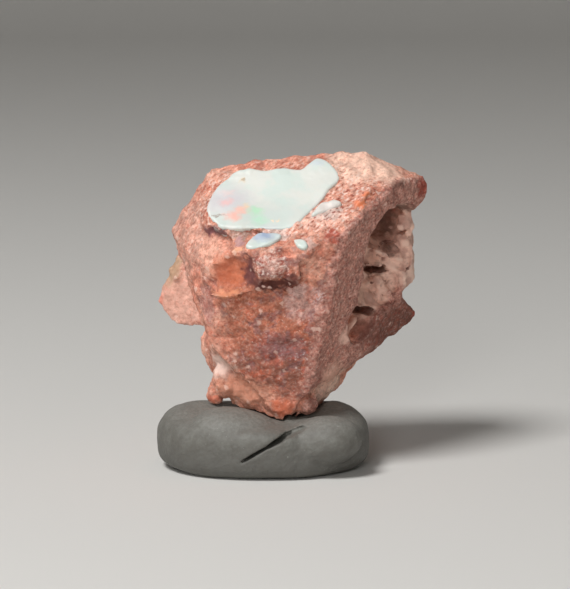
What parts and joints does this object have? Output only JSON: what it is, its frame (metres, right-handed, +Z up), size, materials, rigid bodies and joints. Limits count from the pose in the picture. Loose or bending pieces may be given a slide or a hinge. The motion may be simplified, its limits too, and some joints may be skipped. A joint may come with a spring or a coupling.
{
  "type": "rough opal specimen",
  "caption": "Rough lump of pink volcanic rock with milky opal across its sloping top and an open hollow in its side, stood upright in a pat of grey mounting putty.",
  "frame": {"origin": "middle of the footprint of the whole specimen, on the surface that the putty stands on", "axes": "+Z up; the front, which shows the opal on the sloping top, faces -Y; the hollow opens towards +X"},
  "size_m": [0.0274, 0.0198, 0.0316],
  "materials": {
    "rock": "rough broken volcanic rock, pink to brick red, granular",
    "opal": "milky opal, smooth and softly glossy, faint pink and green play of colour",
    "putty": "kneaded grey putty, matt, slightly dimpled"
  },
  "bodies": {
    "root": {"host_rock": "rock", "opal_face": "opal", "opal_lower_chip": "opal", "opal_side_strip": "opal", "opal_fleck": "opal", "mounting_putty": "putty"}
  },
  "joints": []
}
